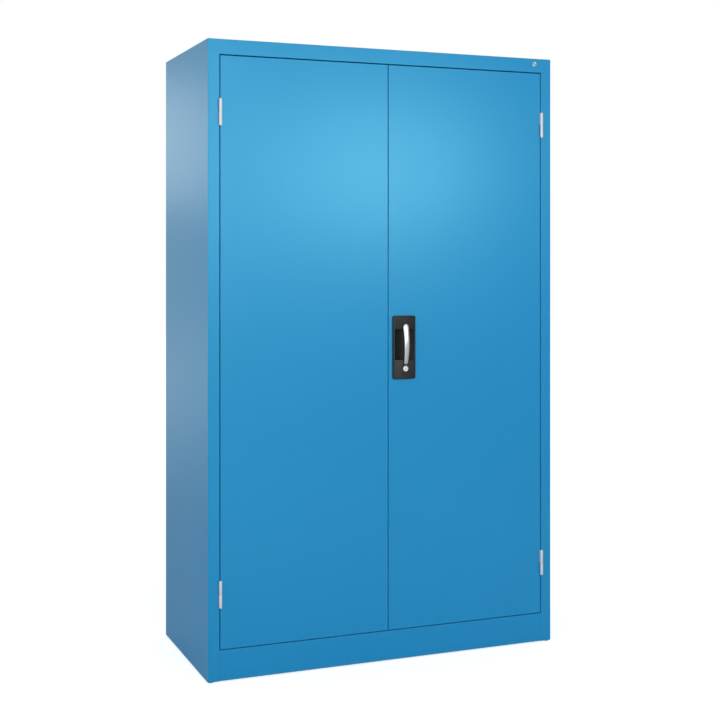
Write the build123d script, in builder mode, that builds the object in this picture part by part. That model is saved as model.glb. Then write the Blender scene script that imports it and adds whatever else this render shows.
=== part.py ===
"""Free-standing steel cabinet with two hinged doors, four shelves and a handle-driven two-rod lock.

Millimetres, +Z up, the front faces -Y. The origin is on the floor, at the middle of the whole bounding box.
"""

from math import acos, cos, pi, radians, sin, tan

from build123d import *
import os

os.makedirs("parts", exist_ok=True)

# Steel body
width = 1200
depth = 500
body_height = 1950
sheet = 1
fold_radius = 1.3
glide_height = 3
bow_reach = 24

# Division of the front
stile_width = 37
side_gap = 2.5
centre_gap = 2
top_gap = 3
bottom_gap = 2.5
header_height = 46.25
plinth_height = 93
plinth_setback = 1
plinth_fold = 20
stop_setback = 24
stop_lip = 12
stile_lip = 10
back_return = 15
panel_flange = 15
relief = 0.5

# Doors
door_depth = 20
door_edge = 1.5
door_return = 20
stiffener_crown = 60
stiffener_foot = 15
stiffener_depth = 15
stiffener_relief = 5
buffer_radius = 5
buffer_inset = 120
touch = 0.05

# Hinges
hinge_length = 82
hinge_low = 128
hinge_high = 132
barrel_radius = 5
barrel_clearance = 0.5
pin_radius = 2.5
pin_end = 3
running = 0.05
washer_thickness = 1
leaf_thickness = 2
leaf_reach = 16
slot_clearance = 0.5

# Feet and corner plates
glide_radius = 10
glide_inset = 11.5
glide_back = 12
stud_radius = 4
stud_length = 22
corner_plate = 2
corner_plate_depth = 60
nut_width = 13
nut_thickness = 5

# Uprights and shelves
upright_depth = 30
upright_reach = 15
upright_inset = 60
upright_bottom = 120
upright_headroom = 68
slot_first = 140
slot_pitch = 25
slot_width = 6
slot_height = 10
shelf_steps = (12, 26, 40, 54)
shelf_front = 46
shelf_back_gap = 10
shelf_height = 25
shelf_return = 12
shelf_clearance = 0.3
clip_thickness = 1.5
clip_width = 14
clip_drop = 22
clip_ledge = 14
tab_drop = 12
tab_width = 5
tab_height = 8
tab_reach = 4

# Escutcheon, lock tray and lock cover on the right door
plate_inset = 13.5
plate_width = 79
lock_shift = 2
plate_bottom = 899
plate_height = 203
plate_edge = 7
plate_crown = 11
plate_corner = 6
plate_round = 1.5
plate_overlap = 6
plate_wall = 3
tub_clearance = 1.5
tub_wall = 2
tub_depth = 17.5
trough_rim = 5.5
trough_rise = 62.5
trough_length = 98
trough_depth = 12
boss_radius = 3.5
boss_x = 25
boss_z = 15
bearing_radius = 7
screw_radius = 1.5
head_radius = 3
head_height = 2
tray_left_margin = 7
tray_right_margin = 10
tray_margin = 5
lock_sheet = 1.5
cover_inset = 3
cover_foot = 12
cover_top = 5
cover_gap = 2.5
cover_wall_rise = 25
cover_wall_length = 125
cover_screw_inset = 6
cover_screw_rises_left = (45, 130)
cover_screw_rises_right = (25, 185)

# Handle, spindle, tongue and pinion
hub_rise = 167.5
hub_radius = 9.5
hub_clearance = 0.3
bow_waist_drop = 66.5
bow_waist = 8.4
bow_tip_drop = 113
bow_tip = 6.5
bow_end = 14
bow_thickness = 6.5
spindle_radius = 4
spindle_square = 5.6
spindle_front = 15.5
slip = 0.02
tongue_gap = 1.5
tongue_thickness = 3
tongue_radius = 8
tongue_tip = 7
tongue_length = 61
gear_module = 1.75
gear_teeth = 16
pressure_angle = 20
addendum_share = 0.8
dedendum_share = 1.0
backlash = 0.1
flank_points = 5
pinion_hub = 7
pinion_journal = 6
journal_reach = 0.5

# Rods
rod_gap = 1.5
rod_thickness = 5
rod_width = 12
rod_tip_gap = 1.75
rack_tail = 3
spaces_ahead = 2
spaces_behind = 6
guide_wall = 6
guide_length = 20
guide_gap = 2
guide_cap = 3
backing_length = 30
floor_slot = 3
lug_height = 6
lug_reach = 4.6
lug_gap = 1

# Lock cylinder
cylinder_rise = 34
cylinder_flange = 9
cylinder_flange_thickness = 1.5
cylinder_radius = 8
cylinder_gap = 3
cylinder_nut = 22
plug_radius = 6
cam_recess = 0.5
key_slot_width = 2
key_slot_height = 8
key_slot_depth = 10
cam_thickness = 3
cam_tip = 3.5
cam_length = 8.5

# Round blanking cap on the header
cap_inset = 62
cap_drop = 17.5
cap_radius = 7.25
cap_inner = 4.25
cap_proud = 1.2
cap_disc_proud = 0.7
cap_stem = 3
cap_stem_length = 5

# Levels and planes that follow from the sizes above
front_y = (bow_reach - depth) / 2
back_y = front_y + depth
half_width = width / 2
body_bottom = glide_height
body_top = body_bottom + body_height
opening_half = half_width - stile_width
cap_x = half_width - cap_inset
header_bottom = body_top - header_height
plinth_top = body_bottom + plinth_height
floor_top = plinth_top + stop_lip
door_bottom = plinth_top + bottom_gap
door_top = header_bottom - top_gap
door_outer = opening_half - side_gap
door_inner = centre_gap / 2
door_middle = (door_outer + door_inner) / 2
stop_y = front_y + stop_setback
door_back_y = front_y + door_depth
upright_top = body_top - upright_headroom
upright_front = upright_inset
upright_rear = depth - upright_inset
shelf_rear = depth - shelf_back_gap
panel_half = half_width - sheet
panel_back_y = back_y - 2 * sheet
header_half = opening_half + fold_radius
hinge_x = opening_half - side_gap / 2
hinge_y = front_y - barrel_radius - barrel_clearance
hinge_bases = (door_bottom + hinge_low, door_top - hinge_high - hinge_length)
knuckle_length = (hinge_length - washer_thickness) / 2
knuckle_step = knuckle_length + washer_thickness
plate_left = door_inner + plate_inset
plate_right = plate_left + plate_width
plate_centre = (plate_left + plate_right) / 2
lock_x = plate_centre + lock_shift
plate_top = plate_bottom + plate_height
tub_left = plate_left + plate_overlap + tub_clearance
tub_right = plate_right - plate_overlap - tub_clearance
tub_bottom = plate_bottom + plate_overlap + tub_clearance
tub_top = plate_top - plate_overlap - tub_clearance
trough_bottom = plate_bottom + trough_rise
trough_top = trough_bottom + trough_length
hub_z = plate_bottom + hub_rise
bow_waist_z = hub_z - bow_waist_drop
bow_tip_z = hub_z - bow_tip_drop
cylinder_z = plate_bottom + cylinder_rise
tray_left = plate_left - tray_left_margin
tray_right = plate_right + tray_right_margin
tray_bottom = plate_bottom - tray_margin
tray_top = plate_top + tray_margin
tray_back = tub_depth + lock_sheet
tongue_front = door_depth + tongue_gap
rod_front = stop_setback + sheet + rod_gap
rod_back = rod_front + rod_thickness
plug_depth = rod_front + cam_recess
cylinder_depth = plug_depth - cylinder_gap
cover_web = rod_back + cover_gap
cover_left = door_inner + door_return + cover_inset
cover_right = plate_right
cover_screws_left = [plate_bottom + rise for rise in cover_screw_rises_left]
cover_screws_right = [plate_bottom + rise for rise in cover_screw_rises_right]
pitch_radius = gear_module * gear_teeth / 2
rack_pitch = pi * gear_module
rack_tip = pitch_radius - addendum_share * gear_module
rack_root = pitch_radius + dedendum_share * gear_module
stroke = pitch_radius * pi / 2
rod_tail = spaces_behind * rack_pitch + rack_tail
upper_tip = header_bottom - stop_lip - rod_tip_gap
lower_tip = floor_top + rod_tip_gap
bosses = [
    (plate_centre + side * boss_x, z)
    for side in (-1, 1)
    for z in (plate_bottom + boss_z, plate_top - boss_z)
]


def block(x, y, z, mode=Mode.ADD):
    """Box given by its ranges in X, Y and Z."""
    with Locations(((x[0] + x[1]) / 2, (y[0] + y[1]) / 2, (z[0] + z[1]) / 2)):
        Box(x[1] - x[0], y[1] - y[0], z[1] - z[0], mode=mode)


def upright_bar(x, y, z, radius, mode=Mode.ADD):
    """Round bar along Z."""
    with Locations((x, y, (z[0] + z[1]) / 2)):
        Cylinder(radius, z[1] - z[0], mode=mode)


def bar(x, z, d, radius, mode=Mode.ADD):
    """Round bar along Y, from one depth behind the door face to another."""
    with Locations(Location((x, front_y + (d[0] + d[1]) / 2, z), (90, 0, 0))):
        Cylinder(radius, d[1] - d[0], mode=mode)


def folded(plane, points):
    """Section of a folded sheet, which lies to the left of its path."""
    with BuildSketch(plane) as profile:
        with BuildLine():
            FilletPolyline(*points, radius=fold_radius)
            offset(amount=sheet, side=Side.LEFT)
        make_face()
    return profile.sketch


def behind(d):
    """Y of a depth behind the door face."""
    return front_y + d


def facing(d):
    """Plane that looks along the depth, at a depth behind the door face."""
    return Plane(origin=(0, behind(d), 0), x_dir=(1, 0, 0), z_dir=(0, 1, 0))


# Side panels: back return, side, front stile, stile return and door stop lip in one folded sheet.
# The stile return stops under the header, and the lip stops at the plinth.
with BuildPart() as left_side:
    side_path = [
        (-half_width + back_return, back_y),
        (-half_width, back_y),
        (-half_width, front_y),
        (-opening_half, front_y),
        (-opening_half, stop_y),
        (-opening_half + stile_lip, stop_y),
    ]
    extrude(folded(Plane.XY.offset(body_bottom), side_path), amount=body_height)
    block(
        (-header_half, -opening_half + stile_lip + sheet),
        (front_y - sheet, stop_y + fold_radius),
        (header_bottom, body_top),
        Mode.SUBTRACT,
    )
    block(
        (-opening_half, -opening_half + stile_lip + sheet),
        (stop_y - fold_radius, stop_y + fold_radius),
        (body_bottom, plinth_top),
        Mode.SUBTRACT,
    )
    for base in hinge_bases:
        block(
            (-opening_half - sheet - leaf_thickness - slot_clearance, -opening_half - sheet),
            (front_y - sheet, front_y + fold_radius),
            (base - slot_clearance, base + knuckle_length + slot_clearance),
            Mode.SUBTRACT,
        )
with BuildPart() as right_side:
    mirror(left_side.part, about=Plane.YZ)

# Top panel: the roof folds down at the front into the header, whose lip is the upper door stop.
with BuildPart() as top_panel:
    roof_path = [
        (panel_back_y, body_top - panel_flange),
        (panel_back_y, body_top),
        (front_y, body_top),
        (front_y, header_bottom),
        (stop_y, header_bottom),
        (stop_y, header_bottom - stop_lip),
    ]
    extrude(folded(Plane.YZ.offset(-header_half), roof_path), amount=2 * header_half)
    for side in (-1, 1):
        edge = sorted((side * header_half, side * panel_half))
        flange = sorted((side * (panel_half - sheet), side * panel_half))
        lip_end = sorted((side * header_half, side * (opening_half - stile_lip - relief)))
        block(edge, (front_y + fold_radius, panel_back_y), (body_top - sheet, body_top))
        block(flange, (front_y + fold_radius, panel_back_y), (body_top - panel_flange, body_top))
        lip_z = (header_bottom - stop_lip, header_bottom)
        block(lip_end, (front_y, stop_y + fold_radius), lip_z, Mode.SUBTRACT)
    bar(cap_x, body_top - cap_drop, (-sheet, 2 * sheet), cap_stem + running, Mode.SUBTRACT)

# Back panel: flat sheet inside the back returns.
with BuildPart() as back_panel:
    back_half = half_width - fold_radius
    block((-back_half, back_half), (panel_back_y, panel_back_y + sheet), (body_bottom, body_top))

# Bottom panel: its front fold is the lower door stop, and its slot takes the lower rod.
with BuildPart() as bottom_panel:
    floor_half = opening_half - stile_lip - relief
    floor_path = [
        (panel_back_y, floor_top - panel_flange),
        (panel_back_y, floor_top),
        (stop_y, floor_top),
        (stop_y, plinth_top),
    ]
    extrude(folded(Plane.YZ.offset(-floor_half), floor_path), amount=2 * floor_half)
    for side in (-1, 1):
        edge = sorted((side * floor_half, side * panel_half))
        flange = sorted((side * (panel_half - sheet), side * panel_half))
        side_y = (stop_y + fold_radius, panel_back_y)
        block(edge, side_y, (floor_top - sheet, floor_top))
        block(flange, side_y, (floor_top - panel_flange, floor_top))
    block(
        (lock_x - rack_tip - rod_width - floor_slot, lock_x - rack_tip + floor_slot),
        (behind(rod_front) - sheet / 2, behind(rod_back) + floor_slot),
        (floor_top - 2 * sheet, floor_top + sheet),
        Mode.SUBTRACT,
    )

# Plinth: folded top and bottom, a hair behind the stiles.
with BuildPart() as plinth:
    plinth_path = [
        (stop_y + sheet, plinth_top),
        (front_y + plinth_setback, plinth_top),
        (front_y + plinth_setback, body_bottom),
        (front_y + plinth_fold, body_bottom),
    ]
    extrude(folded(Plane.YZ.offset(-opening_half), plinth_path), amount=2 * opening_half)

# Corner plates inside the feet of the side panels, with the glides, their studs and nuts.
glide_spots = [
    (side * (half_width - glide_inset), y)
    for side in (-1, 1)
    for y in (front_y + glide_back, back_y - glide_back)
]
with BuildPart() as corner_plates:
    for x, y in glide_spots:
        side = 1 if x > 0 else -1
        plate_x = sorted((side * (opening_half + sheet), side * (half_width - fold_radius)))
        if y < 0:
            plate_y = (front_y + fold_radius, front_y + corner_plate_depth)
        else:
            plate_y = (panel_back_y - corner_plate_depth, panel_back_y)
        block(plate_x, plate_y, (body_bottom, body_bottom + corner_plate))
        upright_bar(x, y, (body_bottom, body_bottom + corner_plate), stud_radius + running, Mode.SUBTRACT)
with BuildPart() as glides:
    for x, y in glide_spots:
        upright_bar(x, y, (0, glide_height), glide_radius)
        upright_bar(x, y, (glide_height, stud_length), stud_radius)
with BuildPart() as glide_nuts:
    nut_base = body_bottom + corner_plate
    for x, y in glide_spots:
        with BuildSketch(Plane.XY.offset(nut_base)):
            with Locations((x, y)):
                RegularPolygon(nut_width / 2, 6, major_radius=False)
                Circle(stud_radius + slip, mode=Mode.SUBTRACT)
    extrude(amount=nut_thickness)

# Slotted uprights on the side panels, which carry the shelves.
def upright(x_side, spot):
    """Channel with a row of slots in its web."""
    outer = x_side * panel_half
    web = x_side * (panel_half - upright_reach)
    y = (behind(spot) - upright_depth / 2, behind(spot) + upright_depth / 2)
    block(sorted((outer, web)), y, (upright_bottom, upright_top))
    hollow = sorted((outer, web + x_side * sheet))
    block(hollow, (y[0] + sheet, y[1] - sheet), (upright_bottom, upright_top), Mode.SUBTRACT)
    slot_count = int((upright_top - slot_first - slot_height) / slot_pitch) + 1
    spots = [(web, behind(spot), slot_first + slot_pitch * step) for step in range(slot_count)]
    with Locations(*spots):
        Box(4 * sheet, slot_width, slot_height, mode=Mode.SUBTRACT)


with BuildPart() as upright_front_left:
    upright(-1, upright_front)
with BuildPart() as upright_front_right:
    upright(1, upright_front)
with BuildPart() as upright_rear_left:
    upright(-1, upright_rear)
with BuildPart() as upright_rear_right:
    upright(1, upright_rear)

# Shelf clips: each hooks into a slot and gives the shelf a ledge.
shelf_levels = [slot_first + tab_drop + slot_pitch * step for step in shelf_steps]
web_half = panel_half - upright_reach
with BuildPart() as shelf_clips:
    for level in shelf_levels:
        for side in (-1, 1):
            for spot in (upright_front, upright_rear):
                y = (behind(spot) - clip_width / 2, behind(spot) + clip_width / 2)
                tab_y = (behind(spot) - tab_width / 2, behind(spot) + tab_width / 2)
                tab_z = level - tab_drop
                hook_x = web_half + tab_reach
                plate_x = sorted((side * web_half, side * (web_half - clip_thickness)))
                ledge_x = sorted((side * web_half, side * (web_half - clip_ledge)))
                reach_x = sorted((side * web_half, side * hook_x))
                block(plate_x, y, (level - clip_drop, level))
                block(ledge_x, y, (level - clip_thickness, level))
                block(reach_x, tab_y, (tab_z - tab_height / 2, tab_z + tab_height / 2))
                block(
                    sorted((side * (hook_x - clip_thickness), side * hook_x)),
                    tab_y,
                    (tab_z - tab_height, tab_z),
                )


# Shelves: four trays with all edges turned down and the long edges turned in again.
def shelf(level):
    """Shelf standing on its clips at the given level."""
    half = web_half - clip_thickness - shelf_clearance
    y = (behind(shelf_front), behind(shelf_rear))
    top = level + shelf_height
    block((-half, half), y, (level, top))
    inside_y = (y[0] + sheet, y[1] - sheet)
    block((sheet - half, half - sheet), inside_y, (level + sheet, top - sheet), Mode.SUBTRACT)
    mouth = (y[0] + shelf_return, y[1] - shelf_return)
    block((sheet - half, half - sheet), mouth, (level, level + sheet), Mode.SUBTRACT)


with BuildPart() as shelf_lowest:
    shelf(shelf_levels[0])
with BuildPart() as shelf_lower:
    shelf(shelf_levels[1])
with BuildPart() as shelf_upper:
    shelf(shelf_levels[2])
with BuildPart() as shelf_highest:
    shelf(shelf_levels[3])

# Door buffers on the two stop lips.
with BuildPart() as door_buffers:
    for x in (buffer_inset, door_outer - buffer_inset):
        for side in (-1, 1):
            for z in (header_bottom - stop_lip + buffer_radius, plinth_top + buffer_radius):
                bar(side * x, z, (door_depth + touch, stop_setback), buffer_radius)


# Hinges: the frame knuckle below, the door knuckle above, a washer between them and one pin.


def door_knuckle(side, base):
    """Door half of a hinge, closed at the top."""
    low = base + knuckle_step
    upright_bar(side * hinge_x, hinge_y, (low + running, low + knuckle_length), barrel_radius)
    edge = side * (door_outer - sheet)
    block(
        sorted((edge, edge - side * leaf_thickness)),
        (hinge_y, front_y + leaf_reach),
        (low + running, low + knuckle_length),
    )
    bore = (low + running, low + knuckle_length - pin_end)
    upright_bar(side * hinge_x, hinge_y, bore, pin_radius + running, Mode.SUBTRACT)


def frame_knuckle(side, base):
    """Frame half of a hinge, closed at the bottom."""
    upright_bar(side * hinge_x, hinge_y, (base, base + knuckle_length), barrel_radius)
    edge = side * (opening_half + sheet)
    block(
        sorted((edge, edge + side * leaf_thickness)),
        (hinge_y, front_y + leaf_reach),
        (base, base + knuckle_length),
    )
    bore = (base + pin_end, base + knuckle_length)
    upright_bar(side * hinge_x, hinge_y, bore, pin_radius + slip, Mode.SUBTRACT)


with BuildPart() as frame_knuckles:
    for side in (-1, 1):
        for base in hinge_bases:
            frame_knuckle(side, base)
with BuildPart() as left_knuckles:
    for base in hinge_bases:
        door_knuckle(-1, base)
with BuildPart() as right_knuckles:
    for base in hinge_bases:
        door_knuckle(1, base)
with BuildPart() as hinge_pins:
    for side in (-1, 1):
        for base in hinge_bases:
            upright_bar(
                side * hinge_x,
                hinge_y,
                (base + pin_end, base + hinge_length - pin_end - running),
                pin_radius,
            )
with BuildPart() as hinge_washers:
    for side in (-1, 1):
        for base in hinge_bases:
            z = (base + knuckle_length, base + knuckle_step)
            upright_bar(side * hinge_x, hinge_y, z, barrel_radius)
            upright_bar(side * hinge_x, hinge_y, z, pin_radius + slip, Mode.SUBTRACT)


# Doors: skin, four flanges and four returns in one folded sheet, slotted for the hinge tabs.
def door_pan(side):
    """Folded pan of one door."""
    x = sorted((side * door_inner, side * door_outer))
    block(x, (front_y, door_back_y), (door_bottom, door_top))


def door_hollow(side):
    """Inside of the pan, its opening at the back, and the slots for the hinge tabs."""
    x = sorted((side * door_inner, side * door_outer))
    inside_x = (x[0] + sheet, x[1] - sheet)
    inside_z = (door_bottom + sheet, door_top - sheet)
    block(inside_x, (front_y + sheet, door_back_y - sheet), inside_z, Mode.SUBTRACT)
    mouth_x = (x[0] + door_return, x[1] - door_return)
    mouth_z = (door_bottom + door_return, door_top - door_return)
    block(mouth_x, (door_back_y - sheet, door_back_y), mouth_z, Mode.SUBTRACT)
    edge = side * (door_outer - sheet)
    slot_x = sorted((edge, edge - side * (leaf_thickness + slot_clearance)))
    for base in hinge_bases:
        slot_z = (base + knuckle_step - slot_clearance, base + hinge_length + slot_clearance)
        block(slot_x, (front_y - sheet, front_y + sheet), slot_z, Mode.SUBTRACT)


with BuildPart() as left_door:
    door_pan(-1)
    fillet(left_door.faces().sort_by(Axis.Y)[0].edges(), radius=door_edge)
    door_hollow(-1)

rod_middles = {
    "upper": lock_x + rack_tip + rod_width / 2,
    "lower": lock_x - rack_tip - rod_width / 2,
}
guide_half = rod_width / 2 + guide_wall
guide_levels = {
    "upper": (upper_tip - guide_gap - guide_length, upper_tip - guide_gap),
    "lower": (lower_tip + guide_gap, lower_tip + guide_gap + guide_length),
}
guide_screw_spots = [
    (rod_middles[name] + shift * (rod_width + guide_wall) / 2, level)
    for name, level in (
        ("upper", door_top - door_return + head_radius),
        ("lower", door_bottom + door_return - head_radius),
    )
    for shift in (-1, 1)
]
with BuildPart() as right_door:
    door_pan(1)
    fillet(right_door.faces().sort_by(Axis.Y)[0].edges(), radius=door_edge)
    door_hollow(1)
    block(
        (plate_left + plate_overlap, plate_right - plate_overlap),
        (front_y - sheet, front_y + 2 * sheet),
        (plate_bottom + plate_overlap, plate_top - plate_overlap),
        Mode.SUBTRACT,
    )
    for x, z in guide_screw_spots:
        bar(x, z, (door_depth - 2 * sheet, door_depth), screw_radius + slip, Mode.SUBTRACT)


# Door stiffeners: hat sections welded behind the skins.
def stiffener_path(middle):
    """Path of the hat section, its feet on the skin."""
    crown = stiffener_crown / 2
    foot = crown + stiffener_foot
    skin = front_y + sheet
    return [
        (middle - foot, skin),
        (middle - crown, skin),
        (middle - crown, skin + stiffener_depth),
        (middle + crown, skin + stiffener_depth),
        (middle + crown, skin),
        (middle + foot, skin),
    ]


stiffener_base = door_bottom + stiffener_relief
stiffener_length = door_top - door_bottom - 2 * stiffener_relief
with BuildPart() as left_stiffener:
    extrude(folded(Plane.XY.offset(stiffener_base), stiffener_path(-door_middle)), amount=stiffener_length)
with BuildPart() as right_stiffener:
    extrude(folded(Plane.XY.offset(stiffener_base), stiffener_path(door_middle)), amount=stiffener_length)

# Escutcheon: crowned front, finger trough with a round floor, and a tub through the door skin.
trough_chord = plate_width / 2 - trough_rim
trough_sag = trough_depth + plate_edge
trough_radius = (trough_chord**2 + trough_sag**2) / (2 * trough_sag)
trough_axis = trough_depth - trough_radius
with BuildPart() as escutcheon:
    with BuildSketch(Plane.XY.offset(plate_bottom)):
        with BuildLine():
            Polyline(
                (plate_right, behind(-plate_edge)),
                (plate_right, front_y),
                (plate_left, front_y),
                (plate_left, behind(-plate_edge)),
            )
            ThreePointArc(
                (plate_left, behind(-plate_edge)),
                (plate_centre, behind(-plate_crown)),
                (plate_right, behind(-plate_edge)),
            )
        make_face()
    extrude(amount=plate_height)
    fillet(escutcheon.edges().filter_by(Axis.Y), radius=plate_corner)
    crown_face = escutcheon.faces().filter_by(GeomType.CYLINDER).sort_by(SortBy.AREA)[-1]
    fillet(crown_face.edges(), radius=plate_round)
    block((tub_left, tub_right), (front_y, behind(tub_depth)), (tub_bottom, tub_top))
    inner_x = (tub_left + tub_wall, tub_right - tub_wall)
    deep = (behind(plate_wall - plate_crown), behind(tub_depth))
    block(inner_x, deep, (tub_bottom + tub_wall, trough_bottom - tub_wall), Mode.SUBTRACT)
    block(inner_x, deep, (trough_top + tub_wall, tub_top - tub_wall), Mode.SUBTRACT)
    with BuildSketch(Plane.XY.offset(trough_bottom + tub_wall)):
        with Locations((plate_centre, (behind(0) + behind(tub_depth)) / 2)):
            Rectangle(inner_x[1] - inner_x[0], tub_depth)
        with Locations((plate_centre, behind(trough_axis))):
            Circle(trough_radius + tub_wall, mode=Mode.SUBTRACT)
    extrude(amount=trough_top - trough_bottom - 2 * tub_wall, mode=Mode.SUBTRACT)
    for x, z in bosses:
        bar(x, z, (plate_wall - plate_crown, tub_depth), boss_radius)
    bar(lock_x, hub_z, (plate_wall - plate_crown, tub_depth), bearing_radius)
    with BuildSketch(Plane.XY.offset(trough_bottom)):
        with Locations((plate_centre, behind(trough_axis))):
            Circle(trough_radius)
    extrude(amount=trough_top - trough_bottom, mode=Mode.SUBTRACT)
    for x, z in bosses:
        bar(x, z, (0, tub_depth), screw_radius + slip, Mode.SUBTRACT)
    bar(lock_x, hub_z, (-plate_crown - sheet, tub_depth), spindle_radius + running, Mode.SUBTRACT)
    bar(lock_x, cylinder_z, (-plate_crown - sheet, tub_depth), cylinder_radius + running, Mode.SUBTRACT)

# Lock tray: steel pan behind the skin, which clamps the escutcheon to the door.
with BuildPart() as lock_tray:
    block((tray_left, tray_right), (behind(sheet), behind(tray_back)), (tray_bottom, tray_top))
    block(
        (tray_left + lock_sheet, tray_right - lock_sheet),
        (behind(sheet), behind(tub_depth)),
        (tray_bottom + lock_sheet, tray_top - lock_sheet),
        Mode.SUBTRACT,
    )
    for x, z in bosses:
        bar(x, z, (tub_depth, tray_back), screw_radius + slip, Mode.SUBTRACT)
    bar(lock_x, hub_z, (tub_depth, tray_back), spindle_radius + relief, Mode.SUBTRACT)
    bar(lock_x, cylinder_z, (tub_depth, tray_back), cylinder_radius + relief, Mode.SUBTRACT)
    for z in cover_screws_left:
        bar(cover_left + cover_screw_inset, z, (tub_depth, tray_back), screw_radius + slip, Mode.SUBTRACT)
    for z in cover_screws_right:
        bar(tray_right - cover_screw_inset, z, (tub_depth, tray_back), screw_radius + slip, Mode.SUBTRACT)
with BuildPart() as escutcheon_screws:
    for x, z in bosses:
        bar(x, z, (sheet, tray_back), screw_radius)
        bar(x, z, (tray_back, tray_back + head_height), head_radius)

# Lock cover: bridge over the rods, open at the left above its wall for the tongue.
cover_back = cover_web + lock_sheet
cover_z = (tray_bottom + cover_top, tray_top - cover_top)
cover_wall_z = (plate_bottom + cover_wall_rise, plate_bottom + cover_wall_rise + cover_wall_length)
with BuildPart() as lock_cover:
    foot_y = (behind(tray_back), behind(tray_back + lock_sheet))
    wall_y = (behind(tray_back), behind(cover_back))
    block((cover_left, cover_right), (behind(cover_web), behind(cover_back)), cover_z)
    block((cover_left, cover_left + lock_sheet), wall_y, cover_wall_z)
    block((cover_left, cover_left + cover_foot), foot_y, cover_wall_z)
    block((cover_right - lock_sheet, cover_right), wall_y, cover_z)
    block((cover_right - lock_sheet, tray_right), foot_y, cover_z)
    bar(lock_x, hub_z, (cover_web, cover_back), pinion_journal + running, Mode.SUBTRACT)
    foot_d = (tray_back, tray_back + lock_sheet)
    for z in cover_screws_left:
        bar(cover_left + cover_screw_inset, z, foot_d, screw_radius + slip, Mode.SUBTRACT)
    for z in cover_screws_right:
        bar(tray_right - cover_screw_inset, z, foot_d, screw_radius + slip, Mode.SUBTRACT)
with BuildPart() as cover_screws:
    seat = tray_back + lock_sheet
    cover_spots = [(cover_left + cover_screw_inset, z) for z in cover_screws_left]
    cover_spots += [(tray_right - cover_screw_inset, z) for z in cover_screws_right]
    for x, z in cover_spots:
        bar(x, z, (tub_depth - sheet, seat), screw_radius)
        bar(x, z, (seat, seat + head_height), head_radius)

# Backing blocks keep each rack in mesh; end guides hold the rods at the top and bottom of the door.
with BuildPart() as backing_blocks:
    backing_z = (hub_z - backing_length / 2, hub_z + backing_length / 2)
    backing_y = (behind(rod_front), behind(cover_web))
    upper_back = lock_x + rack_tip + rod_width + running
    lower_back = lock_x - rack_tip - rod_width - running
    block((upper_back, cover_right - lock_sheet), backing_y, backing_z)
    block((cover_left + lock_sheet, lower_back), backing_y, backing_z)
with BuildPart() as rod_guides:
    for name in ("upper", "lower"):
        middle = rod_middles[name]
        guide_y = (door_back_y, behind(rod_back) + guide_cap)
        slot_half = rod_width / 2 + running
        slot_y = (behind(rod_front) - running, behind(rod_back) + running)
        block((middle - guide_half, middle + guide_half), guide_y, guide_levels[name])
        block((middle - slot_half, middle + slot_half), slot_y, guide_levels[name], Mode.SUBTRACT)
    for x, z in guide_screw_spots:
        bar(x, z, (door_depth, rod_back + guide_cap), screw_radius + slip, Mode.SUBTRACT)
with BuildPart() as guide_screws:
    guide_seat = rod_back + guide_cap
    for x, z in guide_screw_spots:
        bar(x, z, (door_depth - 2 * sheet, guide_seat), screw_radius)
        bar(x, z, (guide_seat, guide_seat + head_height), head_radius)


# Rods: flat bars, each with a rack against the pinion.
def rack_space(side, centre):
    """One space between rack teeth, cut from the edge that faces the pinion."""
    slope = tan(radians(pressure_angle))
    half = rack_pitch / 4 + backlash / 2
    reach = relief
    tip = half + slope * (addendum_share * gear_module + reach)
    root = half - slope * dedendum_share * gear_module
    near = lock_x + side * (rack_tip - reach)
    far = lock_x + side * rack_root
    with BuildSketch(facing(rod_front)) as space:
        with BuildLine():
            Polyline(
                (near, -centre - tip),
                (near, -centre + tip),
                (far, -centre + root),
                (far, -centre - root),
                close=True,
            )
        make_face()
    return space.sketch


with BuildPart() as upper_rod:
    block(
        (lock_x + rack_tip, lock_x + rack_tip + rod_width),
        (behind(rod_front), behind(rod_back)),
        (hub_z - rod_tail, upper_tip),
    )
    for step in range(-spaces_behind, spaces_ahead + 1):
        extrude(rack_space(1, hub_z + step * rack_pitch), amount=rod_thickness, mode=Mode.SUBTRACT)
with BuildPart() as lower_rod:
    block(
        (lock_x - rack_tip - rod_width, lock_x - rack_tip),
        (behind(rod_front), behind(rod_back)),
        (lower_tip, hub_z + rod_tail),
    )
    for step in range(-spaces_ahead, spaces_behind + 1):
        extrude(rack_space(-1, hub_z + step * rack_pitch), amount=rod_thickness, mode=Mode.SUBTRACT)

# Lug welded to the lower rod, which the key cam catches when the rods are thrown.
with BuildPart() as rod_lug:
    lug_bottom = cylinder_z - cam_tip - lug_gap - lug_height + stroke
    block(
        (lock_x - rack_tip, lock_x - rack_tip + lug_reach),
        (behind(rod_front), behind(rod_back)),
        (lug_bottom, lug_bottom + lug_height),
    )


# Pinion on the spindle, between the two racks.
def pinion_tooth(angle):
    """Flank points of one tooth, from its root on one side to its root on the other."""
    base_radius = pitch_radius * cos(radians(pressure_angle))
    tip_radius = pitch_radius + addendum_share * gear_module
    root_radius = pitch_radius - dedendum_share * gear_module
    involute = tan(radians(pressure_angle)) - radians(pressure_angle)
    half = pi / (2 * gear_teeth) - backlash / (2 * pitch_radius) + involute
    flank = [(root_radius, half)]
    for step in range(flank_points):
        radius = base_radius + (tip_radius - base_radius) * step / (flank_points - 1)
        spread = acos(base_radius / radius)
        flank.append((radius, half - tan(spread) + spread))
    outline = [(radius, -turn) for radius, turn in flank]
    outline += [(radius, turn) for radius, turn in reversed(flank)]
    return [
        (lock_x + radius * cos(angle + turn), -hub_z - radius * sin(angle + turn))
        for radius, turn in outline
    ]


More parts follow.
